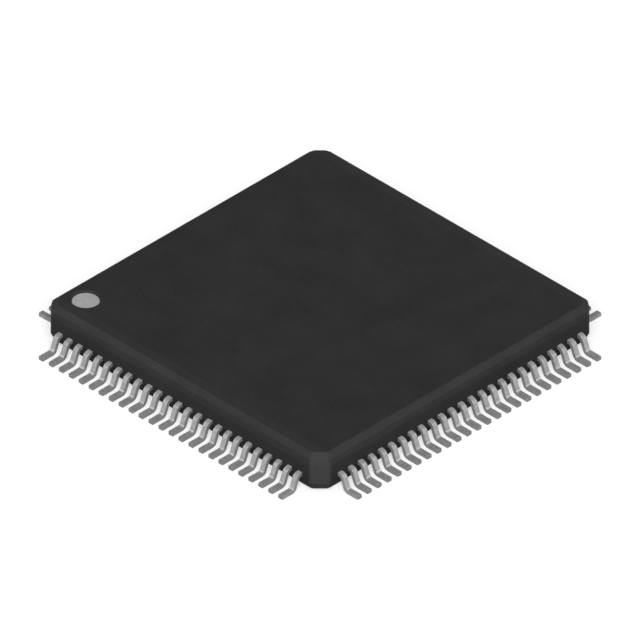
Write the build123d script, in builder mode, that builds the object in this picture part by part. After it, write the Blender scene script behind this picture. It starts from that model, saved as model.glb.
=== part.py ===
from build123d import *
from math import cos, radians, sqrt, tan
import os

os.makedirs("parts", exist_ok=True)

# Lead frame strip, and the row of leads along each side
strip_thickness = 0.165
leads_per_side = 25
lead_spacing = 0.50
lead_width = 0.22
lead_level = 0.45

# Moulding: its sides stand clear of the end leads, and its heights go up from the seating plane
row_end_margin = 1.0
standoff = 0.10
base_bevel_height = 0.32
base_bevel_inset = 0.15
side_height = 0.75
draft_height = 0.23
draft_inset = 0.05
top_bevel_height = 0.20
top_bevel_inset = 0.232
corner_leg = 0.50
corner_radius = 0.25

# Pin-one dimple in the top face, measured in from two sides, with the ink that fills its floor
dimple_left_inset = 1.03
dimple_front_inset = 1.23
dimple_rim_diameter = 1.12
dimple_floor_diameter = 1.02
dimple_depth = 0.115
ink_thickness = 0.02

# Gull wing outside the moulding
lead_length = 1.0
shoulder_length = 0.05
wing_angle = 68.2
bend_radius = 0.093
inner_flat_count = 1
outer_flat_count = 2

# Fan-in finger inside the moulding
knee_depth = 0.55
finger_tip_width = 0.14
finger_tip_gap = 0.35
finger_corner_gap = 0.55

# Paddle that carries the die, its down-set and its four tie bars
paddle_width = 8.0
paddle_downset = 0.20
paddle_corner_leg = 0.30
tie_bar_width = 0.20
tie_bar_cover = 0.15
tie_bar_run = 0.25
downset_angle = 45.0

# Silicon die and the epoxy under it
die_width = 5.8
die_thickness = 0.30
attach_thickness = 0.025
attach_margin = 0.10

# Bond wires from the die's edge to the fingers
wire_width = 0.025
wire_loop_height = 0.20
pad_inset = 0.10
pad_corner_gap = 0.28
stitch_inset = 0.12

# Heights and lines that follow from the sizes above
side_bottom = standoff + base_bevel_height
side_top = side_bottom + side_height
draft_top = side_top + draft_height
body_top = draft_top + top_bevel_height
lead_underside = standoff + lead_level
lead_top = lead_underside + strip_thickness
paddle_underside = lead_underside - paddle_downset
attach_underside = paddle_underside + strip_thickness
die_underside = attach_underside + attach_thickness
die_top = die_underside + die_thickness
loop_top = die_top + wire_loop_height
side_middle = (leads_per_side - 1) / 2
body_side = side_middle * lead_spacing + row_end_margin
body_width = 2 * body_side
knee_line = body_side - knee_depth
finger_tip_line = paddle_width / 2 + finger_tip_gap
finger_tip_spacing = (finger_tip_line - finger_corner_gap) / side_middle
pad_line = die_width / 2 - pad_inset
pad_spacing = (pad_line - pad_corner_gap) / side_middle
dimple_x = dimple_left_inset - body_side
dimple_y = dimple_front_inset - body_side
sides = 4


def bend_corners(corner, heading, turn, radius, flats):
    """Corners of a bend between two straights that would meet at `corner`. Equal short flats,
    each tangent to the true arc, make the bend."""
    half_flat = radius * tan(radians(abs(turn) / (flats + 1) / 2))
    setback = radius * tan(radians(abs(turn) / 2))
    corners = [corner + Vector(half_flat - setback, 0).rotate(Axis.Z, heading)]
    for _ in range(flats):
        heading += turn / (flats + 1)
        corners.append(corners[-1] + Vector(2 * half_flat, 0).rotate(Axis.Z, heading))
    return corners


def bend_sides(corner, heading, turn):
    """The same bend along the strip's underside, where `corner` lies, and along its upper side."""
    inside = (bend_radius, inner_flat_count)
    outside = (bend_radius + strip_thickness, outer_flat_count)
    below, above = (inside, outside) if turn < 0 else (outside, inside)
    mitre = Vector(0, strip_thickness / cos(radians(turn / 2))).rotate(Axis.Z, heading + turn / 2)
    under = bend_corners(corner, heading, turn, *below)
    over = bend_corners(corner + mitre, heading, turn, *above)
    return under, over


def bent_strip(side_plane, width, start, first_corner, angle, end):
    """Strip of frame metal with two bends, drawn in its side plane: level from start to the
    first corner, down or up at the angle, then level again to the end. All are underside points."""
    rise = end.Y - start.Y
    second_corner = first_corner + Vector(rise / tan(radians(angle)), rise)
    first_under, first_over = bend_sides(first_corner, 0, angle)
    second_under, second_over = bend_sides(second_corner, angle, -angle)
    underside = [start, *first_under, *second_under, end]
    thickness = Vector(0, strip_thickness)
    upper_side = [start + thickness, *first_over, *second_over, end + thickness]
    with BuildPart() as strip:
        with BuildSketch(side_plane):
            with BuildLine():
                Polyline(*underside, *reversed(upper_side), close=True)
            make_face()
        extrude(amount=width / 2, both=True)
    return strip.part


def lead_name(number):
    """Numbers of the four identical leads, one on each side, counted round from the dimple."""
    numbers = [number + turn * leads_per_side for turn in range(sides)]
    return "_".join(f"{pin:02d}" for pin in numbers)


def four_round(piece):
    """The same piece on each of the four sides, as separate solids."""
    with BuildPart() as group:
        with PolarLocations(0, sides):
            add(piece)
    return group


shoulder_corner = body_side + shoulder_length + bend_radius * tan(radians(wing_angle / 2))

# Leads and bond wires, made on the front side (-Y) from left to right
lead_groups = []
wire_groups = []
for index in range(leads_per_side):
    number = index + 1
    lead_x = (index - side_middle) * lead_spacing
    tip_x = (index - side_middle) * finger_tip_spacing
    pad_x = (index - side_middle) * pad_spacing

    wing = bent_strip(
        Plane(origin=(lead_x, 0, 0), x_dir=(0, -1, 0), z_dir=(-1, 0, 0)),
        lead_width,
        Vector(knee_line, lead_underside),
        Vector(shoulder_corner, lead_underside),
        -wing_angle,
        Vector(body_side + lead_length, 0),
    )
    with BuildPart() as lead:
        add(wing)
        with BuildSketch(Plane.XY.offset(lead_underside)):
            with BuildLine():
                Polyline(
                    (lead_x - lead_width / 2, -knee_line),
                    (lead_x + lead_width / 2, -knee_line),
                    (tip_x + finger_tip_width / 2, -finger_tip_line),
                    (tip_x - finger_tip_width / 2, -finger_tip_line),
                    close=True,
                )
            make_face()
        extrude(amount=strip_thickness)
    lead_group = four_round(lead.part)
    lead_group.part.label = "leads_" + lead_name(number)
    lead_groups.append(lead_group)

    # Each wire rises from its pad and then slopes down to its stitch, in one upright plane
    stitch_share = stitch_inset / (knee_line - finger_tip_line)
    stitch_x = tip_x + (lead_x - tip_x) * stitch_share
    pad_point = Vector(pad_x, -pad_line, 0)
    reach = Vector(stitch_x, -finger_tip_line - stitch_inset, 0) - pad_point
    along = reach.normalized()
    fall = (loop_top - wire_width - lead_top) / (reach.length - wire_width)
    with BuildPart() as wire:
        with BuildSketch(Plane(origin=pad_point, x_dir=along, z_dir=along.cross(Vector(0, 0, 1)))):
            with BuildLine():
                Polyline(
                    (0, die_top),
                    (wire_width, die_top),
                    (wire_width, loop_top - wire_width),
                    (reach.length, lead_top),
                    ((loop_top - lead_top) / fall, lead_top),
                    (0, loop_top),
                    close=True,
                )
            make_face()
        extrude(amount=wire_width / 2, both=True)
    wire_group = four_round(wire.part)
    wire_group.part.label = "bond_wires_" + lead_name(number)
    wire_groups.append(wire_group)

# Paddle, with a tie bar from each of its corners up to the leads' level
paddle_corner = (paddle_width - paddle_corner_leg) / sqrt(2)
body_corner = (body_width - corner_leg) / sqrt(2)
tie_bar = bent_strip(
    Plane(origin=(0, 0, 0), x_dir=(1, 1, 0), z_dir=(1, -1, 0)),
    tie_bar_width,
    Vector(paddle_corner, paddle_underside),
    Vector(paddle_corner + tie_bar_run, paddle_underside),
    downset_angle,
    Vector(body_corner - tie_bar_cover, lead_underside),
)
with BuildPart() as paddle:
    with BuildSketch(Plane.XY.offset(paddle_underside)) as paddle_outline:
        Rectangle(paddle_width, paddle_width)
        chamfer(paddle_outline.vertices(), length=paddle_corner_leg)
    extrude(amount=strip_thickness)
    with PolarLocations(0, sides):
        add(tie_bar)
paddle.part.label = "die_paddle"

# Epoxy layer on the paddle, a little wider than the die so that it shows as a fillet all round
with BuildPart() as attach:
    with BuildSketch(Plane.XY.offset(attach_underside)):
        Rectangle(die_width + 2 * attach_margin, die_width + 2 * attach_margin)
    extrude(amount=attach_thickness)
attach.part.label = "die_attach"

with BuildPart() as die:
    with BuildSketch(Plane.XY.offset(die_underside)):
        Rectangle(die_width, die_width)
    extrude(amount=die_thickness)
die.part.label = "silicon_die"

# Ink on the dimple's floor, as wide as the dimple at its own top
dimple_floor = body_top - dimple_depth
floor_radius = dimple_floor_diameter / 2
rim_radius = dimple_rim_diameter / 2
ink_radius = floor_radius + (rim_radius - floor_radius) * ink_thickness / dimple_depth
upright = (Align.CENTER, Align.CENTER, Align.MIN)
with BuildPart() as ink:
    with Locations((dimple_x, dimple_y, dimple_floor)):
        Cone(floor_radius, ink_radius, ink_thickness, align=upright)
ink.part.label = "pin_one_mark"

# Moulding: bevelled base, upright side, slight draft and bevelled top, cast round the rest
body_levels = [
    (standoff, base_bevel_inset),
    (side_bottom, 0),
    (side_top, 0),
    (draft_top, draft_inset),
    (body_top, draft_inset + top_bevel_inset),
]
with BuildPart() as body:
    for height, inset in body_levels:
        with BuildSketch(Plane.XY.offset(height)) as section:
            Rectangle(body_width - 2 * inset, body_width - 2 * inset)
            chamfer(section.vertices(), length=corner_leg - (2 - sqrt(2)) * inset)
            fillet(section.vertices(), radius=corner_radius)
    loft(ruled=True)
    with Locations((dimple_x, dimple_y, dimple_floor)):
        Cone(floor_radius, rim_radius, dimple_depth, align=upright, mode=Mode.SUBTRACT)
    cast_in = [paddle, attach, die] + lead_groups + wire_groups
    add([piece.part for piece in cast_in], mode=Mode.SUBTRACT)
body.part.label = "mould_body"

for piece in [body, ink] + cast_in:
    export_step(piece.part, f"parts/{piece.part.label}.step")
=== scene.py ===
import math

import bpy
import numpy as np
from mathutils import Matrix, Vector
from mathutils.geometry import tessellate_polygon


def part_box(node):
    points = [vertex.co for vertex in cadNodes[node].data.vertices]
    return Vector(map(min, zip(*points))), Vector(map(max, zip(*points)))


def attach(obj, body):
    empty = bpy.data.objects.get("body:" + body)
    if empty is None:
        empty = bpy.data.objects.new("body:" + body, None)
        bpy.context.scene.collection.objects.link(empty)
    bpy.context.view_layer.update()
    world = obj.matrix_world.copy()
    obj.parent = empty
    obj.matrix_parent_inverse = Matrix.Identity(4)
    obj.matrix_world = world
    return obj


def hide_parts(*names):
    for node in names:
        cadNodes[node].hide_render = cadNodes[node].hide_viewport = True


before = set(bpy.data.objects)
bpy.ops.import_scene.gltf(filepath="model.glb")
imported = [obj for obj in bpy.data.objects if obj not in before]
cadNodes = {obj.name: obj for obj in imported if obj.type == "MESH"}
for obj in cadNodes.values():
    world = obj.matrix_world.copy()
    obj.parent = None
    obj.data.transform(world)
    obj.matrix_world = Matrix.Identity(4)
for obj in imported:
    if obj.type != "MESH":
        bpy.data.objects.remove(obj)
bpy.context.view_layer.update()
mm = 0.001
print("frame loaded:", len(cadNodes), "CAD nodes")

# corners of the CAD pieces that give the new ones their places and main sizes
bodyLow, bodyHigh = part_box("mould_body")
markLow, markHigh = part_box("pin_one_mark")
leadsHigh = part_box("leads_13_38_63_88")[1]
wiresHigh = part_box("bond_wires_13_38_63_88")[1]
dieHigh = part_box("silicon_die")[1]

sides = 4                 # the package is the same on each side, apart from its pin-one mark
levelRun = 0.1 * mm       # any length: a profile's first and last points only give its ends their heading


# materials are written as Python expressions on shader sockets
class Signal:
    # a shader socket that takes part in Python expressions; each operator adds one Math node
    def __init__(self, board, socket):
        self.board = board
        self.socket = socket

    def maths(self, operation, first, second):
        return self.board.node("ShaderNodeMath", {"operation": operation}, {0: first, 1: second})

    def __add__(self, other):
        return self.maths("ADD", self, other)

    def __sub__(self, other):
        return self.maths("SUBTRACT", self, other)

    def __rsub__(self, other):
        return self.maths("SUBTRACT", other, self)

    def __mul__(self, other):
        return self.maths("MULTIPLY", self, other)

    def __abs__(self):
        return self.board.node("ShaderNodeMath", {"operation": "ABSOLUTE"}, {0: self})

    def orMore(self, other):
        # the larger of the two
        return self.maths("MAXIMUM", self, other)

    def foldedOver(self, length):
        # runs up to the length and back down again, over and over
        return self.maths("PINGPONG", self, length)

    def twin(self, output):
        # another output of the same node
        return Signal(self.board, self.socket.node.outputs[output])

    __radd__ = __add__
    __rmul__ = __mul__


class Board:
    # one node tree being wired up
    def __init__(self, tree):
        self.tree = tree
        self.tree.nodes.clear()

    def node(self, kind, settings=None, sockets=None, output=0):
        # settings go on the node first, then each socket gets a value or a link
        made = self.tree.nodes.new(kind)
        for name, value in (settings or {}).items():
            if name == "stops":
                self.setStops(made.color_ramp.elements, value)
            else:
                setattr(made, name, value)
        for name, value in (sockets or {}).items():
            socket = made.inputs[name]
            if isinstance(value, Signal):
                self.tree.links.new(value.socket, socket)
            elif isinstance(value, tuple) and socket.type == "RGBA":
                socket.default_value = (*value, 1.0)
            else:
                socket.default_value = value
        return Signal(self, made.outputs[output]) if made.outputs else None

    def setStops(self, ramp, stops):
        # each stop is a position from 0 to 1 and a tone of grey
        while len(ramp) < len(stops):
            ramp.new(0.5)
        for element, (position, tone) in zip(ramp, stops):
            element.position = position
            element.color = (tone, tone, tone, 1.0)

    def noise(self, where, grain, detail=2.0, roughness=0.5):
        # cloudy noise whose features are about `grain` metres across
        return self.node("ShaderNodeTexNoise", {},
                         {"Vector": where, "Scale": 1.0 / grain, "Detail": detail, "Roughness": roughness})

    def cells(self, where, size):
        # distance from the nearest of many points that lie about `size` metres apart
        return self.node("ShaderNodeTexVoronoi", {}, {"Vector": where, "Scale": 1.0 / size})

    def spread(self, value, low, high, newLow=0.0, newHigh=1.0):
        # smooth step from low..high to newLow..newHigh
        return self.node("ShaderNodeMapRange", {"interpolation_type": "SMOOTHSTEP"},
                         {"Value": value, "From Min": low, "From Max": high,
                          "To Min": newLow, "To Max": newHigh})

    def fade(self, value, low, high):
        # 1 up to low, 0 from high on
        return self.spread(value, low, high, 1.0, 0.0)

    def blendColour(self, share, first, second, how="MIX"):
        # sockets 6 and 7 of a Mix node are its two colours, and output 2 is the colour that comes out
        return self.node("ShaderNodeMix", {"data_type": "RGBA", "blend_type": how},
                         {0: share, 6: first, 7: second}, output=2)

    def bump(self, height, depth, below=None):
        # depth in metres is what a height of 1 stands for; below is the bump that this one lies on
        sockets = {"Height": height, "Distance": depth, "Strength": 1.0}
        if below is not None:
            sockets["Normal"] = below
        return self.node("ShaderNodeBump", {}, sockets)

    def objectPoint(self):
        return self.node("ShaderNodeTexCoord", output="Object")

    def trace(self, name):
        # number kept at each point of the mesh
        return self.node("ShaderNodeAttribute", {"attribute_name": name}, output="Fac")

    def axis(self, vector, name):
        # the X, Y or Z part
        return self.node("ShaderNodeSeparateXYZ", {}, {"Vector": vector}, output=name)


def startFinish(name):
    material = bpy.data.materials.new(name)
    material.use_nodes = True
    return material, Board(material.node_tree)


def closeFinish(board, sockets):
    # sockets are those of the Principled shader, by name
    skin = board.node("ShaderNodeBsdfPrincipled", {}, sockets)
    board.node("ShaderNodeOutputMaterial", {}, {"Surface": skin})


def mouldCompoundFinish(values):
    # matt black epoxy full of silica: spark-eroded grain, paler filler specks, slow flow mottle, painted
    # shade by height band and a painted highlight on the corners
    material, board = startFinish("mouldCompound")
    where = board.objectPoint()
    grain = board.noise(where, values["grainSize"], detail=3.0, roughness=0.6)
    mottle = board.noise(where, values["mottleSize"])
    weight = values["mottleWeight"]
    tone = board.spread(mottle * weight + grain * (1.0 - weight), *values["toneRange"])
    colour = board.blendColour(tone, values["darkColour"], values["paleColour"])
    # a speck lies in the middle of a cell, and the cell's own random colour says whether it has one
    toSpeck = board.cells(where, values["speckSpacing"])
    chance = board.node("ShaderNodeSeparateColor", {}, {"Color": toSpeck.twin("Color")}, output="Red")
    specks = board.fade(toSpeck, *values["speckRadii"]) * board.spread(chance, *values["speckChance"])
    colour = board.blendColour(specks * values["speckShare"], colour, values["speckColour"])
    # painted shade and light by height: the side band darker and the top bevel paler, as the light falls on
    # each band
    height = board.axis(where, "Z") * (1.0 / values["fullHeight"])
    bandShade = board.node("ShaderNodeValToRGB", {"stops": values["paintedBandShade"]}, {"Fac": height})
    colour = board.blendColour(1.0, colour, bandShade, how="MULTIPLY")
    # painted highlight: the faces round the corners are made paler, as if lit more, with noise breaking it up
    highlightMottle = board.spread(board.noise(where, values["highlightMottleSize"], detail=3.0),
                          *values["highlightMottleRange"], *values["highlightMottleShares"])
    rubbed = board.trace("rubbed") * values["cornerHighlightShare"] * highlightMottle
    colour = board.blendColour(rubbed, colour, values["cornerHighlightColour"])
    rough = values["roughness"] + (mottle - 0.5) * values["roughnessSwing"]
    closeFinish(board, {
        "Base Color": colour,
        "Roughness": rough - specks * values["speckPolish"],
        "Specular IOR Level": values["specularLevel"],
        "Normal": board.bump(grain, values["grainDepth"]),
    })
    return material


def tinPlateFinish(values):
    # satin tin over copper: matt crystal grain outside, bare copper where the moulding covers it, and a
    # spot of silver on each finger's tip
    material, board = startFinish("tinPlate")
    where = board.objectPoint()
    crystals = board.cells(where, values["crystalSize"])
    cloud = board.noise(where, values["cloudSize"])
    reach = abs(board.axis(where, "X")).orMore(abs(board.axis(where, "Y")))
    plated = board.spread(reach, values["platedFrom"] - values["platingEdge"], values["platedFrom"])
    silvered = board.fade(reach, values["silveredTo"] - values["platingEdge"], values["silveredTo"])
    bare = board.blendColour(silvered, values["copper"], values["silver"])
    tin = board.blendColour(board.spread(cloud, *values["cloudRange"]), values["tinDark"], values["tinPale"])
    # the press left lines down each flank, so their noise is stretched through the strip's thickness
    through = board.trace("through") * values["tearStretch"]
    flank = board.node("ShaderNodeCombineXYZ", {}, {"X": board.trace("along"), "Y": through})
    tears = board.noise(flank, values["tearSize"], roughness=0.6)
    sheared = board.trace("sheared")
    # painted shade: the flanks and toe are made darker, broken up by the press's tear lines
    tornShade = sheared * board.spread(tears, *values["tearRange"], *values["tearShares"])
    tin = board.blendColour(tornShade * values["shearedShadeShare"], tin, values["shearedShadeColour"])
    # painted highlight: the tops of both bends are made paler, and a little smoother
    burnished = board.trace("burnished")
    tin = board.blendColour(burnished * values["bendHighlightShare"], tin, values["bendHighlightColour"])
    rough = values["roughness"] + (cloud - 0.5) * values["roughnessSwing"]
    skin = board.bump(crystals, values["crystalDepth"])
    closeFinish(board, {
        "Base Color": board.blendColour(plated, bare, tin),
        "Metallic": 1.0 - plated * (1.0 - values["platedMetallic"]),
        "Roughness": rough + sheared * values["shearedMatt"] - burnished * values["bendHighlightPolish"],
        "Normal": board.bump(tears * sheared, values["tearDepth"], below=skin),
    })
    return material


def markingInkFinish(values):
    # screen-printed ink: pale grey, slightly uneven coverage, soft orange-peel skin
    material, board = startFinish("markingInk")
    where = board.objectPoint()
    peel = board.noise(where, values["peelSize"])
    fine = board.noise(where, values["fineSize"])
    weight = values["peelWeight"]
    cover = board.spread(peel * weight + fine * (1.0 - weight), *values["coverRange"])
    closeFinish(board, {
        "Base Color": board.blendColour(cover, values["thinColour"], values["fullColour"]),
        "Roughness": values["roughness"] + (fine - 0.5) * values["roughnessSwing"],
        "Specular IOR Level": values["specularLevel"],
        "Normal": board.bump(peel, values["peelDepth"]),
    })
    return material


def rolledMetalFinish(name, values):
    # bare metal: rolling lines along one direction and a faint cloud of tarnish
    material, board = startFinish(name)
    where = board.objectPoint()
    stretched = board.node("ShaderNodeMapping", {}, {"Vector": where, "Scale": values["stretch"]})
    lines = board.noise(stretched, values["lineSize"])
    tarnish = board.spread(board.noise(where, values["tarnishSize"], detail=3.0), *values["tarnishRange"])
    closeFinish(board, {
        "Base Color": board.blendColour(tarnish, values["brightColour"], values["dullColour"]),
        "Metallic": 1.0,
        "Roughness": values["roughness"] + (lines - 0.5) * values["roughnessSwing"],
        "Normal": board.bump(lines, values["lineDepth"]),
    })
    return material


def silverEpoxyFinish(values):
    # grey paste full of silver flakes, some of which glint
    material, board = startFinish("silverEpoxy")
    flakes = board.cells(board.objectPoint(), values["flakeSize"])
    glint = board.fade(flakes, 0.0, values["glintRadius"])
    closeFinish(board, {
        "Base Color": board.blendColour(glint, values["pasteColour"], values["flakeColour"]),
        "Metallic": glint * values["glintMetallic"],
        "Roughness": values["roughness"] - glint * values["glintPolish"],
        "Normal": board.bump(flakes, values["flakeDepth"]),
    })
    return material


def siliconFinish(values):
    # polished die: blocks of circuits crossed by fine rows, an aluminium pad under each bond, sawn edges matt
    material, board = startFinish("siliconDie")
    where = board.objectPoint()

    def grid(size, rowHeight):
        # rows of oblong fields of random tone with narrow lanes between them
        settings = {"offset": values["rowShift"], "squash": values["rowStretch"], "squash_frequency": 2}
        return board.node("ShaderNodeTexBrick", settings, {
            "Vector": where, "Color1": values["fieldColour"], "Color2": values["blockColour"],
            "Mortar": values["laneColour"], "Mortar Size": values["laneWidth"],
            "Scale": 1.0 / size, "Row Height": rowHeight})

    circuits = board.blendColour(values["rowShare"], grid(values["blockSize"], values["blockHeight"]),
                                 grid(values["rowSize"], values["rowHeight"]))
    # outward is the larger of |x| and |y|, towards the nearest side, and sideways is the lesser
    reachX = abs(board.axis(where, "X"))
    reachY = abs(board.axis(where, "Y"))
    outward = reachX.orMore(reachY)
    sideways = reachX + reachY - outward
    half = values["padHalfWidth"]
    soft = values["padSoftness"]
    across = board.fade(sideways.foldedOver(values["padSpacing"] / 2), half - soft, half)
    along = board.fade(abs(outward - values["padLine"]), half - soft, half)
    inRow = board.fade(sideways, values["padRowEnd"], values["padRowEnd"] + soft)
    pads = across * along * inRow
    facing = board.node("ShaderNodeNewGeometry", output="Normal")
    topFace = board.spread(board.axis(facing, "Z"), *values["topFacing"])
    pattern = board.blendColour(pads, circuits, values["padColour"])
    closeFinish(board, {
        "Base Color": board.blendColour(topFace, values["sawnColour"], pattern),
        "Metallic": topFace * (values["circuitMetallic"] + pads * values["padMetallic"]),
        "Roughness": values["sawnRoughness"] - topFace * values["topPolish"] + pads * values["padMatt"],
        "Coat Weight": topFace * values["topCoat"],
    })
    return material


def placeObject(name, data):
    holder = bpy.data.objects.new(name, data)
    bpy.context.scene.collection.objects.link(holder)
    return holder


def makePiece(name, points, normals, faces, material, nodeName, traces=None):
    # a mesh standing for one CAD node, with its exact surface normals where they are given; traces are
    # numbers kept at each point for the material to read
    mesh = bpy.data.meshes.new(name)
    mesh.from_pydata(points.reshape(-1, 3), [], faces)
    mesh.polygons.foreach_set("use_smooth", np.ones(len(mesh.polygons), bool))
    mesh.update()
    if normals is not None:
        mesh.normals_split_custom_set_from_vertices(normals.reshape(-1, 3))
    for trace, amounts in (traces or {}).items():
        kept = mesh.attributes.new(trace, "FLOAT", "POINT")
        kept.data.foreach_set("value", amounts.astype(np.float32).ravel())
    mesh.materials.append(material)
    piece = placeObject(name, mesh)
    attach(piece, "root")
    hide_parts(nodeName)


def turnedPoints(points, count):
    # the same points turned about Z by count equal steps: x' = x cos a - y sin a, y' = x sin a + y cos a
    angle = np.arange(count) * 2 * math.pi / count
    turn = np.zeros((count, 3, 3))
    turn[:, 0, 0] = np.cos(angle)
    turn[:, 0, 1] = -np.sin(angle)
    turn[:, 1, 0] = np.sin(angle)
    turn[:, 1, 1] = np.cos(angle)
    turn[:, 2, 2] = 1
    return np.einsum("tij,...j->t...i", turn, points)


def ringFaces(rings, around, start=0):
    # four-sided faces between neighbouring rings of a tube, the last point of a ring next to its first
    ring = np.arange(rings - 1)[:, None] * around
    step = np.arange(around)[None, :]
    following = (step + 1) % around
    faces = np.stack([ring + step, ring + following, ring + around + following, ring + around + step], -1)
    return (faces.reshape(-1, 4) + start).tolist()


def tubeFaces(rings, around, copies=1):
    # faces of a tube closed by its first and last ring, and the same again for each further copy of it:
    # a copy's point numbers go on where those of the one before end
    start = np.arange(copies)[:, None] * rings * around
    ends = np.arange(around)
    firstEnds = start + ends[::-1]
    lastEnds = start + (rings - 1) * around + ends
    walls = [face for begin in start[:, 0] for face in ringFaces(rings, around, begin)]
    return walls + firstEnds.tolist() + lastEnds.tolist()


def roundedProfile(corners, radii, steps):
    # each corner of a polyline becomes an arc tangent to both its sides. At heading a the normal is
    # (sin a, -cos a), and a point is centre + radius * normal where the line turns left and
    # centre - radius * normal where it turns right
    corners = np.array(corners)
    heading = np.diff(corners, axis=0)
    angle = np.arctan2(heading[:, 1], heading[:, 0])
    before = angle[:-1]
    turn = (angle[1:] - before + math.pi) % (2 * math.pi) - math.pi
    radius = np.array(radii)
    setback = radius * np.tan(np.abs(turn) / 2)
    side = np.sign(turn)
    start = corners[1:-1] - setback[:, None] * np.stack([np.cos(before), np.sin(before)], -1)
    centre = start + (radius * side)[:, None] * np.stack([-np.sin(before), np.cos(before)], -1)
    along = before[:, None] + turn[:, None] * np.linspace(0, 1, steps + 1)
    normals = np.stack([np.sin(along), -np.cos(along)], -1)
    points = centre[:, None] + (radius * side)[:, None, None] * normals
    return points.reshape(-1, 2), normals.reshape(-1, 2)


def turnedProfile(profile, slope, around, centre):
    # a profile of radius and height turned about an upright line through the centre: each profile point
    # becomes a ring, x = cx + r cos a, y = cy + r sin a
    turn = np.arange(around) * 2 * math.pi / around
    circle = np.stack([np.cos(turn), np.sin(turn)], -1)
    shape = (len(profile), around, 1)
    points = np.concatenate([profile[:, 0, None, None] * circle + np.array(centre),
                             np.broadcast_to(profile[:, 1, None, None], shape)], -1)
    normals = np.concatenate([slope[:, 0, None, None] * circle,
                              np.broadcast_to(slope[:, 1, None, None], shape)], -1)
    return points, normals


# the epoxy moulding, its pin-one dimple and the ejector marks under it
moulding = {
    "halfWidth": bodyHigh.x,
    "cornerLeg": 0.50 * mm,
    "cornerRadius": 0.25 * mm,
    "cornerSteps": 6,
    # height, inset and softening radius of each edge, from the underside up
    "edges": [
        (bodyLow.z, 0.15 * mm, 0.04 * mm),
        (bodyLow.z + 0.32 * mm, 0.0, 0.05 * mm),
        (bodyHigh.z - 0.43 * mm, 0.0, 0.06 * mm),
        (bodyHigh.z - 0.20 * mm, 0.05 * mm, 0.03 * mm),
        (bodyHigh.z, 0.282 * mm, 0.03 * mm),
    ],
    "edgeSteps": 4,
    "flatHighlightShare": 0.25,      # how much painted highlight a level face gets, against an upright one
    "dimpleCentre": ((markLow + markHigh) / 2).xy,
    "dimpleRimRadius": 0.56 * mm,
    "dimpleFloorRadius": 0.51 * mm,
    "dimpleDepth": bodyHigh.z - markLow.z,
    "dimpleSoftness": 0.018 * mm,
    "dimpleSteps": 4,
    "dimpleAround": 72,
    "ejectorReach": 4.2 * mm,     # of each mark's centre, along X and along Y
    "ejectorRadius": 0.6 * mm,
    "ejectorTaper": 0.01 * mm,
    "ejectorDepth": 0.03 * mm,
    "ejectorSoftness": 0.008 * mm,
    "ejectorSteps": 2,
    "ejectorAround": 40,
    "finish": {
        "darkColour": (0.0205, 0.0206, 0.0208),
        "paleColour": (0.0265, 0.0266, 0.0268),
        "toneRange": (0.3, 0.7),
        "mottleSize": 1.6 * mm,
        "mottleWeight": 0.6,      # in the tone; the rest is the grain's
        "grainSize": 0.045 * mm,
        "grainDepth": 0.0045 * mm,
        "speckColour": (0.09, 0.09, 0.088),
        "speckShare": 0.35,
        "speckSpacing": 0.055 * mm,
        "speckRadii": (0.14, 0.26),       # of its full tone and of its faint edge, in spacings
        "speckChance": (0.55, 0.65),
        "speckPolish": 0.08,
        "fullHeight": bodyHigh.z,
        # share of the full height, and tone of the painted shade
        "paintedBandShade": [
            (0.26, 0.92), (0.30, 0.82), (0.70, 0.86), (0.76, 0.98),
            (0.87, 0.98), (0.885, 1.16), (0.985, 1.16), (0.998, 0.91),
        ],
        "highlightMottleSize": 0.12 * mm,
        "highlightMottleRange": (0.3, 0.6),
        "highlightMottleShares": (0.75, 1.0),
        "cornerHighlightColour": (0.042, 0.042, 0.0425),
        "cornerHighlightShare": 0.70,
        "roughness": 0.78,
        "roughnessSwing": 0.10,
        "specularLevel": 0.05,
    },
}


def squareOutline(values, inset):
    # square with cut corners, every side moved in by the inset, and an arc of one radius at its eight
    # corners: an arc's centre is where its two sides, moved in by the radius, cross
    half = values["halfWidth"]
    radius = values["cornerRadius"]
    cut = (2 * half - values["cornerLeg"]) / math.sqrt(2)
    facing = np.arange(8) * math.pi / 4
    reach = np.where(np.arange(8) % 2 == 0, half, cut)[None, :] - inset[:, None] - radius
    nextFacing = facing + math.pi / 4
    nextReach = np.roll(reach, -1, axis=1)
    sine = math.sin(math.pi / 4)
    centre = np.stack([(reach * np.sin(nextFacing) - nextReach * np.sin(facing)) / sine,
                       (nextReach * np.cos(facing) - reach * np.cos(nextFacing)) / sine], -1)
    angle = facing[:, None] + np.linspace(0, math.pi / 4, values["cornerSteps"] + 1)
    outward = np.stack([np.cos(angle), np.sin(angle)], -1)
    points = centre[:, :, None] + radius * outward
    return points.reshape(len(inset), -1, 2), outward.reshape(-1, 2)


def mouldingShell(values):
    # outside: the profile's height and inset carried round the outline, with how much painted highlight each
    # point gets:
    # |sin 2a| for the way a that it faces, less where it faces up or down
    height, inset, radii = np.array(values["edges"]).T
    corners = np.stack([-inset, height], -1)
    within = np.array([levelRun, 0.0])
    corners = np.concatenate([corners[:1] - within, corners, corners[-1:] - within])
    profile, slope = roundedProfile(corners, radii, values["edgeSteps"])
    outline, outward = squareOutline(values, -profile[:, 0])
    rings, around = outline.shape[:2]
    points = np.concatenate([outline, np.broadcast_to(profile[:, 1, None, None], (rings, around, 1))], -1)
    normals = np.concatenate([slope[:, 0, None, None] * outward,
                              np.broadcast_to(slope[:, 1, None, None], (rings, around, 1))], -1)
    towardsCorner = np.abs(2 * outward[:, 0] * outward[:, 1])
    rubbed = towardsCorner * (1 - (1 - values["flatHighlightShare"]) * np.abs(slope[:, 1, None]))
    return points, normals, rubbed


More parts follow.
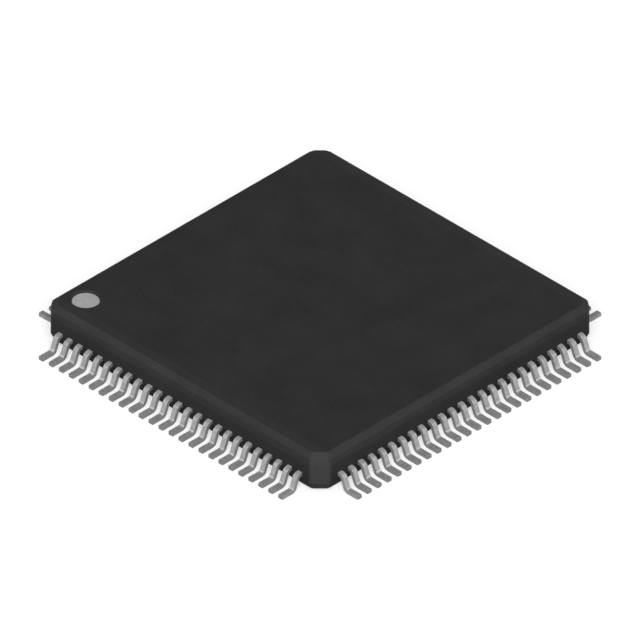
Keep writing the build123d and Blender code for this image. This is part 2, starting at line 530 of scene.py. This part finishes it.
def dimpleWall(values):
    # profile from the rim in the top face down the sloping wall to the floor, turned about the centre
    rim = values["dimpleRimRadius"]
    floor = values["dimpleFloorRadius"]
    top = bodyHigh.z
    bottom = top - values["dimpleDepth"]
    corners = [(rim + levelRun, top), (rim, top), (floor, bottom), (floor - levelRun, bottom)]
    profile, slope = roundedProfile(corners, [values["dimpleSoftness"]] * 2, values["dimpleSteps"])
    return turnedProfile(profile, slope, values["dimpleAround"], values["dimpleCentre"])


def ejectorWalls(values):
    # profile from the raised roof of a mark out and down to the underside, turned about its centre; then
    # the same about the other centres, which are the first one turned about Z
    radius = values["ejectorRadius"]
    mouth = radius + values["ejectorTaper"]
    under = bodyLow.z
    roof = under + values["ejectorDepth"]
    corners = [(radius - levelRun, roof), (radius, roof), (mouth, under), (mouth + levelRun, under)]
    profile, slope = roundedProfile(corners, [values["ejectorSoftness"]] * 2, values["ejectorSteps"])
    reach = values["ejectorReach"]
    centres = turnedPoints(np.array([-reach, -reach, 0.0]), sides)
    return [turnedProfile(profile, slope, values["ejectorAround"], centre[:2]) for centre in centres]


def flatCap(points, loops, facingUp):
    # fills the flat area inside the first loop of point numbers and outside the others with triangles, and
    # turns round each one whose cross product ab x ac has the wrong sign
    numbers = np.concatenate(loops)
    faces = numbers[np.array(tessellate_polygon([points[loop] for loop in loops]))]
    a, b, c = (points[faces[:, corner]] for corner in range(3))
    wrong = (np.cross(b - a, c - a)[:, 2] > 0) != facingUp
    faces[wrong] = faces[wrong][:, ::-1]
    return faces.tolist()


def buildMoulding(values, material):
    # the shell, the dimple's wall and the ejector marks' walls, each a stack of rings; two flat caps with
    # holes in them join their edges, and plain caps close the dimple's floor and the marks' roofs
    shell, shellNormals, rubbed = mouldingShell(values)
    walls = [(shell, shellNormals), dimpleWall(values), *ejectorWalls(values)]
    points = np.concatenate([wall.reshape(-1, 3) for wall, _ in walls])
    normals = np.concatenate([slopes.reshape(-1, 3) for _, slopes in walls])
    faces = []
    firstRings = []
    lastRings = []
    start = 0
    for wall, _ in walls:
        rings, around = wall.shape[:2]
        faces += ringFaces(rings, around, start)
        firstRings.append(start + np.arange(around))
        start += rings * around
        lastRings.append(start - around + np.arange(around))
    faces += flatCap(points, [lastRings[0], firstRings[1]], True)
    faces += flatCap(points, [firstRings[0], *lastRings[2:]], False)
    faces.append(lastRings[1].tolist())
    faces += [ring[::-1].tolist() for ring in firstRings[2:]]
    amounts = np.zeros(len(points))
    amounts[:rubbed.size] = rubbed.ravel()
    makePiece("moulding", points, normals, faces, material, "mould_body",
              {"rubbed": amounts})


buildMoulding(moulding, mouldCompoundFinish(moulding["finish"]))
print("moulding made")


# ink on the dimple's floor, which stops just short of the dimple's wall
mark = {
    "centre": moulding["dimpleCentre"],
    "floorHeight": markLow.z,
    "thickness": markHigh.z - markLow.z,
    "footRadius": 0.500 * mm,
    "footSoftness": 0.002 * mm,
    "radius": 0.496 * mm,
    "edgeSoftness": 0.008 * mm,
    "edgeSteps": 3,
    "around": 72,
    "finish": {
        "thinColour": (0.275, 0.275, 0.2735),
        "fullColour": (0.33, 0.33, 0.328),
        "coverRange": (0.3, 0.7),
        "peelSize": 0.16 * mm,
        "peelWeight": 0.7,
        "peelDepth": 0.003 * mm,
        "fineSize": 0.03 * mm,
        "roughness": 0.55,
        "roughnessSwing": 0.1,
        "specularLevel": 0.3,
    },
}


def buildMark(values, material):
    # disc whose profile, foot edge then top edge, is turned about the dimple's centre
    foot = values["footRadius"]
    top = values["radius"]
    low = values["floorHeight"]
    high = low + values["thickness"]
    corners = [(foot - levelRun, low), (foot, low), (top, high), (top - levelRun, high)]
    softness = [values["footSoftness"], values["edgeSoftness"]]
    profile, slope = roundedProfile(corners, softness, values["edgeSteps"])
    points, normals = turnedProfile(profile, slope, values["around"], values["centre"])
    makePiece("markingDot", points, normals, tubeFaces(*points.shape[:2]), material,
              "pin_one_mark")


buildMark(mark, markingInkFinish(mark["finish"]))
print("pin-one mark made")


# gull-wing leads, each with its finger inside the moulding; lines are distances out from the part's middle
leads = {
    "perSide": 25,
    "spacing": 0.50 * mm,
    "width": 0.22 * mm,
    "thickness": 0.165 * mm,
    "topHeight": leadsHigh.z,         # of the level run that enters the moulding
    "tipLine": 4.35 * mm,
    "kneeLine": bodyHigh.x - 0.55 * mm,
    "bendLine": bodyHigh.x + 0.05 * mm,
    "toeLine": leadsHigh.x,
    "wingAngle": 68.2,
    "bendRadius": 0.093 * mm,
    "bendSteps": 6,
    "edgeSoftness": 0.018 * mm,
    "fingerTipWidth": 0.14 * mm,
    "fingerCornerGap": 0.55 * mm,     # from the last finger of a row to the tip line of the next side
    "toeSheared": 1.5,                # against 1 on the flanks; the toe gets more of the painted shade
    "crownHighlight": 0.9,
    "crownShare": 0.5,                # how far round the upper bend the painted highlight reaches
    "hollowHighlight": 0.8,
    "finish": {
        "tinDark": (0.272, 0.272, 0.270),
        "tinPale": (0.334, 0.334, 0.331),
        "cloudSize": 0.12 * mm,
        "cloudRange": (0.35, 0.65),
        "copper": (0.72, 0.36, 0.20),
        "silver": (0.82, 0.81, 0.79),
        "silveredTo": 4.85 * mm,      # spot of silver plate on each finger's tip, for its bond wire
        "platedFrom": bodyHigh.x,
        "platingEdge": 0.02 * mm,
        "platedMetallic": 0.45,
        "roughness": 0.42,
        "roughnessSwing": 0.16,
        "crystalSize": 0.012 * mm,
        "crystalDepth": 0.0012 * mm,
        "shearedShadeColour": (0.14, 0.14, 0.138),      # flanks and toe, where the press cut the strip; their darkening is painted shade
        "shearedShadeShare": 0.48,
        "shearedMatt": 0.10,
        "bendHighlightColour": (0.62, 0.62, 0.615),    # painted highlight on the tops of both bends
        "bendHighlightShare": 0.55,
        "bendHighlightPolish": 0.08,
        "tearSize": 0.012 * mm,
        "tearStretch": 0.12,
        "tearRange": (0.35, 0.65),
        "tearShares": (0.8, 1.2),
        "tearDepth": 0.0015 * mm,
    },
}
rowMiddle = (leads["perSide"] - 1) / 2


def pinNumbers(index):
    # numbers of the alike pins, one on each side
    return "_".join(f"{index + 1 + side * leads['perSide']:02d}" for side in range(sides))


def rowSpacing(line, cornerGap):
    # step of a row that lies this far out and ends the corner gap short of the next side's line
    return (line - cornerGap) / rowMiddle


def leadPath(values):
    # middle line of the strip in its side plane: distance out, height, and angle below level, one row a
    # ring; a bend's point = centre + radius * (sin a, cos a), or minus that in the lower bend. It also says
    # which rings belong to which stretch
    half = values["thickness"] / 2
    radius = values["bendRadius"] + half
    fall = math.radians(values["wingAngle"])
    bend = np.linspace(0, fall, values["bendSteps"] + 1)
    sine = np.sin(bend)
    cosine = np.cos(bend)
    level = values["topHeight"] - half
    soft = values["edgeSoftness"]
    slant = (level - half - 2 * radius * (1 - math.cos(fall))) / math.sin(fall)
    upperOut = values["bendLine"]
    lowerOut = upperOut + 2 * radius * math.sin(fall) + slant * math.cos(fall)
    tip = [(values["tipLine"], level, 0), (values["tipLine"] + soft, level, 0)]
    knee = [(values["kneeLine"], level, 0)]
    upper = np.stack([upperOut + radius * sine, level - radius + radius * cosine, bend], -1)
    lower = np.stack([lowerOut - radius * sine, half + radius - radius * cosine, bend], -1)[::-1]
    toe = [(values["toeLine"] - soft, half, 0), (values["toeLine"], half, 0)]
    stretches = {"tip": tip, "knee": knee, "upper": upper, "lower": lower, "toe": toe}
    names = np.repeat(list(stretches), [len(rows) for rows in stretches.values()])
    return np.concatenate(list(stretches.values())), names


def leadRing(halfWidth, halfThickness, soft):
    # eight points round the strip, two at each softened edge: across, up, and the flat they belong to
    acrossSide = np.array([1, 1, 1, -1, -1, -1, -1, 1])
    upSide = np.array([-1, 1, 1, 1, 1, -1, -1, -1])
    facingAcross = np.array([1, 1, 0, 0, -1, -1, 0, 0])
    facingUp = np.array([0, 0, 1, 1, 0, 0, -1, -1])
    across = halfWidth[:, None] * acrossSide - soft[:, None] * acrossSide * np.abs(facingUp)
    up = halfThickness[:, None] * upSide - soft[:, None] * upSide * np.abs(facingAcross)
    return across, up, facingAcross, facingUp


def leadPoints(values, index):
    # a ring of eight points carried along the middle line, the ring upright to it: point = middle + across X
    # + up along the strip's own normal
    path, stretch = leadPath(values)
    out, height, fall = path.T
    inTip = stretch == "tip"
    place = index - rowMiddle
    tipSpacing = rowSpacing(values["tipLine"], values["fingerCornerGap"])
    middleX = place * np.where(inTip, tipSpacing, values["spacing"])
    halfWidth = np.where(inTip, values["fingerTipWidth"], values["width"]) / 2
    halfThickness = np.full(len(path), values["thickness"] / 2)
    soft = np.full(len(path), values["edgeSoftness"])
    ends = [0, -1]
    halfWidth[ends] -= values["edgeSoftness"]
    halfThickness[ends] -= values["edgeSoftness"]
    soft[ends] /= 2
    across, up, facingAcross, facingUp = leadRing(halfWidth, halfThickness, soft)
    normalOut = np.sin(fall)[:, None]
    normalUp = np.cos(fall)[:, None]
    points = np.stack([middleX[:, None] + across,
                       -(out[:, None] + up * normalOut),
                       height[:, None] + up * normalUp], -1)
    normals = np.stack([np.broadcast_to(facingAcross, up.shape),
                        -facingUp * normalOut,
                        facingUp * normalUp], -1).astype(float)
    normals[0] = (0, 1, 0)
    normals[-1] = (0, -1, 0)
    sheared = np.broadcast_to(np.abs(facingAcross), up.shape).astype(float)
    sheared[ends] = values["toeSheared"]
    # painted highlight on the shoulder's crown, most where its bend begins, and on the middle of the lower
    # bend's
    # hollow: as 1 - bent / share on the crown, and as sin(pi bent) in the hollow
    bent = fall / math.radians(values["wingAngle"])
    crown = values["crownHighlight"] * np.clip(1 - bent / values["crownShare"], 0, 1)
    hollow = values["hollowHighlight"] * np.sin(np.pi * bent)
    rubbed = crown * (stretch == "upper") + hollow * (stretch == "lower")
    burnished = np.outer(rubbed, facingUp > 0)
    # how far each point is along the strip and through it, for the lines on its flanks
    steps = np.hypot(np.diff(out), np.diff(height))
    along = np.broadcast_to(np.concatenate([[0], np.cumsum(steps)])[:, None], up.shape)
    return points, normals, {"sheared": sheared, "burnished": burnished, "along": along, "through": up}


def buildLeads(values, material):
    # the front side's lead of each place, turned about Z onto the other sides, is one piece
    rings, around = leadPoints(values, 0)[0].shape[:2]
    faces = tubeFaces(rings, around, sides)
    for index in range(values["perSide"]):
        points, normals, traces = leadPoints(values, index)
        numbers = pinNumbers(index)
        makePiece("formedLeads_" + numbers, turnedPoints(points, sides), turnedPoints(normals, sides), faces,
                  material, "leads_" + numbers,
                  {name: np.tile(amounts, (sides, 1)) for name, amounts in traces.items()})


buildLeads(leads, tinPlateFinish(leads["finish"]))
print("leads made:", sides * leads["perSide"])


# gold bond wires, from the die's pads to the silvered tips of the fingers
bondWires = {
    "radius": 0.0125 * mm,
    "padLine": dieHigh.x - 0.10 * mm,
    "padCornerGap": 0.28 * mm,
    "padHeight": dieHigh.z,
    "loopHeight": wiresHigh.z,
    "stitchLine": leads["tipLine"] + 0.12 * mm,
    "stitchHeight": leadsHigh.z,
    "bendRadius": 0.06 * mm,
    "bendSteps": 3,
    "around": 6,
    # ball squashed on the pad: height above it, and radius
    "ball": [
        (0.0, 0.030 * mm),
        (0.005 * mm, 0.035 * mm),
        (0.011 * mm, 0.034 * mm),
        (0.016 * mm, 0.0125 * mm),
    ],
    # stitch pressed on the finger: distance before its end, half thickness and half width
    "stitch": [
        (0.05 * mm, 0.0125 * mm, 0.0125 * mm),
        (0.0, 0.004 * mm, 0.021 * mm),
    ],
    "finish": {
        "brightColour": (1.0, 0.72, 0.30),
        "dullColour": (0.92, 0.62, 0.24),
        "stretch": (1.0, 1.0, 0.2),
        "lineSize": 0.005 * mm,
        "lineDepth": 0.0002 * mm,
        "tarnishSize": 0.2 * mm,
        "tarnishRange": (0.35, 0.7),
        "roughness": 0.22,
        "roughnessSwing": 0.2,
    },
}


def wirePoints(values, index):
    # an oval carried along the wire's middle line in its upright plane: point = middle + a cos t across the
    # line + b sin t level with the die
    place = index - rowMiddle
    share = (values["stitchLine"] - leads["tipLine"]) / (leads["kneeLine"] - leads["tipLine"])
    tipSpacing = rowSpacing(leads["tipLine"], leads["fingerCornerGap"])
    stitchX = place * (tipSpacing * (1 - share) + leads["spacing"] * share)
    padX = place * rowSpacing(values["padLine"], values["padCornerGap"])
    pad = np.array([padX, -values["padLine"]])
    span = np.array([stitchX, -values["stitchLine"]]) - pad
    reach = np.hypot(*span)
    onward = span / reach
    aside = np.array([-onward[1], onward[0]])
    radius = values["radius"]
    foot = (radius, values["padHeight"])
    crest = (radius, values["loopHeight"] - radius)
    end = (reach, values["stitchHeight"] + radius)
    bend, bendAcross = roundedProfile([foot, crest, end], [values["bendRadius"]], values["bendSteps"])
    fall = (crest[1] - end[1]) / (end[0] - crest[0])
    ballRise, ballRadius = np.array(values["ball"]).T
    before, halfThickness, halfWidth = np.array(values["stitch"]).T
    middle = np.concatenate([
        np.stack([np.full(len(ballRise), radius), values["padHeight"] + ballRise], -1),
        bend,
        np.stack([reach - before, values["stitchHeight"] + halfThickness + before * fall], -1)])
    across = np.concatenate([np.tile([1.0, 0.0], (len(ballRise), 1)), bendAcross,
                             np.tile(bendAcross[-1], (len(before), 1))])
    bendRadii = np.full(len(bend), radius)
    halfAcross = np.concatenate([ballRadius, bendRadii, halfThickness])
    halfAside = np.concatenate([ballRadius, bendRadii, halfWidth])
    turn = np.arange(values["around"]) * 2 * math.pi / values["around"]
    inPlane = middle[:, None] + (halfAcross[:, None] * np.cos(turn))[..., None] * across[:, None]
    offPlane = halfAside[:, None] * np.sin(turn)
    level = pad + inPlane[..., :1] * onward + offPlane[..., None] * aside
    return np.concatenate([level, inPlane[..., 1:]], -1)


def buildBondWires(values, material):
    # the front side's wire of each place, turned about Z onto the other sides, is one piece
    rings, around = wirePoints(values, 0).shape[:2]
    faces = tubeFaces(rings, around, sides)
    for index in range(leads["perSide"]):
        points = turnedPoints(wirePoints(values, index), sides)
        numbers = pinNumbers(index)
        makePiece("bondWires_" + numbers, points, None, faces, material, "bond_wires_" + numbers)


buildBondWires(bondWires, rolledMetalFinish("goldWire", bondWires["finish"]))
print("bond wires made:", sides * leads["perSide"])


# what else the moulding hides
inside = {
    "copper": {
        "brightColour": (0.78, 0.42, 0.26),
        "dullColour": (0.62, 0.30, 0.18),
        "stretch": (1.0, 0.04, 1.0),
        "lineSize": 0.02 * mm,
        "lineDepth": 0.001 * mm,
        "tarnishSize": 1.2 * mm,
        "tarnishRange": (0.35, 0.7),
        "roughness": 0.34,
        "roughnessSwing": 0.2,
    },
    "epoxy": {
        "pasteColour": (0.30, 0.30, 0.30),
        "flakeColour": (0.75, 0.74, 0.72),
        "flakeSize": 0.02 * mm,
        "flakeDepth": 0.002 * mm,
        "glintRadius": 0.35,          # in flake sizes
        "glintMetallic": 0.7,
        "glintPolish": 0.2,
        "roughness": 0.55,
    },
    "silicon": {
        "fieldColour": (0.035, 0.050, 0.085),
        "blockColour": (0.12, 0.15, 0.19),
        "laneColour": (0.20, 0.19, 0.14),
        "laneWidth": 0.03,
        "blockSize": 0.9 * mm,
        "blockHeight": 0.6,
        "rowSize": 0.16 * mm,
        "rowHeight": 0.2,
        "rowShare": 0.45,             # of the fine rows, against the blocks
        "rowShift": 0.37,             # of each row of fields along the one before it
        "rowStretch": 1.6,            # of every second row's fields
        "circuitMetallic": 0.4,
        "padLine": bondWires["padLine"],
        "padSpacing": rowSpacing(bondWires["padLine"], bondWires["padCornerGap"]),
        "padRowEnd": bondWires["padLine"] - bondWires["padCornerGap"] + 0.06 * mm,
        "padHalfWidth": 0.045 * mm,
        "padSoftness": 0.004 * mm,
        "padColour": (0.72, 0.72, 0.71),
        "padMetallic": 0.5,
        "padMatt": 0.15,
        "sawnColour": (0.16, 0.16, 0.17),
        "sawnRoughness": 0.6,
        "topFacing": (0.5, 0.9),      # Z of the normal, from a sawn side to the polished top
        "topPolish": 0.45,
        "topCoat": 0.5,
    },
}


def dressInside(values):
    # CAD nodes that keep their own shape get their real finish
    finishes = {
        "die_paddle": rolledMetalFinish("frameCopper", values["copper"]),
        "die_attach": silverEpoxyFinish(values["epoxy"]),
        "silicon_die": siliconFinish(values["silicon"]),
    }
    for name, finish in finishes.items():
        mesh = cadNodes[name].data
        mesh.materials.clear()
        mesh.materials.append(finish)


dressInside(inside)
print("inner pieces dressed")


# lamps, dome and floor
studio = {
    "floorSize": 3.0,
    "floorColour": (0.42, 0.42, 0.42),
    "floorLift": 0.56,            # added for camera, mirror and glass rays only, so the floor reads as white
    "white": (1.0, 1.0, 1.0),
    "horizonLight": 1.0,
    "zenithLight": 0.10,
    "domeRange": (0.05, 0.5),     # height on the dome, of 1, from the horizon's light to the zenith's
    # name, direction it shines from, distance, size and watts
    "boxes": [
        ("leftBox", (-0.60, -0.60, 0.53), 1.0, 0.6, 2.2),
        ("rightBox", (0.60, 0.60, 0.53), 1.0, 0.6, 2.2),
        ("keyBox", (0.525, -0.525, 0.67), 1.2, 0.7, 19.0),
    ],
}

# the photograph is an isometric drawing, so the camera has no perspective
viewpoint = {
    "azimuth": 45.0,              # degrees round from the front towards the right-hand side
    "elevation": 35.264,
    "widthTaken": 22.681 * mm,
    "aim": (0.0, 0.0, 0.779 * mm),
    "distance": 0.25,
    "clipStart": 0.001,
    "clipEnd": 10.0,
}


def aimAt(holder, target, fromDirection, distance):
    back = Vector(fromDirection).normalized()
    holder.location = Vector(target) + back * distance
    holder.rotation_mode = "QUATERNION"
    holder.rotation_quaternion = (-back).to_track_quat("-Z", "Y")


def placeCamera(values):
    data = bpy.data.cameras.new("photoView")
    data.type = "ORTHO"
    data.ortho_scale = values["widthTaken"]
    data.clip_start = values["clipStart"]
    data.clip_end = values["clipEnd"]
    camera = placeObject("photoView", data)
    azimuth = math.radians(values["azimuth"])
    elevation = math.radians(values["elevation"])
    level = math.cos(elevation)
    back = (math.sin(azimuth) * level, -math.cos(azimuth) * level, math.sin(elevation))
    aimAt(camera, values["aim"], back, values["distance"])
    bpy.context.scene.camera = camera


def placeLights(values):
    for name, direction, distance, size, watts in values["boxes"]:
        data = bpy.data.lights.new(name, "AREA")
        data.shape = "SQUARE"
        data.size = size
        data.energy = watts
        aimAt(placeObject(name, data), (0, 0, 0), direction, distance)


def dressWorld(values):
    # soft dome, bright at the horizon and calmer overhead
    world = bpy.data.worlds.new("studioDome")
    world.use_nodes = True
    bpy.context.scene.world = world
    board = Board(world.node_tree)
    direction = board.node("ShaderNodeTexCoord", output="Generated")
    strength = board.spread(board.axis(direction, "Z"), *values["domeRange"],
                            values["horizonLight"], values["zenithLight"])
    dome = board.node("ShaderNodeBackground", {}, {"Color": values["white"], "Strength": strength})
    board.node("ShaderNodeOutputWorld", {}, {"Surface": dome})


def layFloor(values):
    half = values["floorSize"] / 2
    corners = [(-half, -half, 0), (half, -half, 0), (half, half, 0), (-half, half, 0)]
    mesh = bpy.data.meshes.new("floor")
    mesh.from_pydata(corners, [], [(0, 1, 2, 3)])
    floor = placeObject("floor", mesh)
    material, board = startFinish("paleFloor")
    matt = board.node("ShaderNodeBsdfDiffuse", {}, {"Color": values["floorColour"]})
    ray = board.node("ShaderNodeLightPath", output="Is Camera Ray")
    seen = ray.orMore(ray.twin("Is Glossy Ray")).orMore(ray.twin("Is Transmission Ray"))
    lift = board.node("ShaderNodeEmission", {},
                      {"Color": values["white"], "Strength": seen * values["floorLift"]})
    surface = board.node("ShaderNodeAddShader", {}, {0: matt, 1: lift})
    board.node("ShaderNodeOutputMaterial", {}, {"Surface": surface})
    mesh.materials.append(material)


placeCamera(viewpoint)
placeLights(studio)
dressWorld(studio)
layFloor(studio)
bpy.context.scene.view_settings.view_transform = "Standard"
print("studio ready")
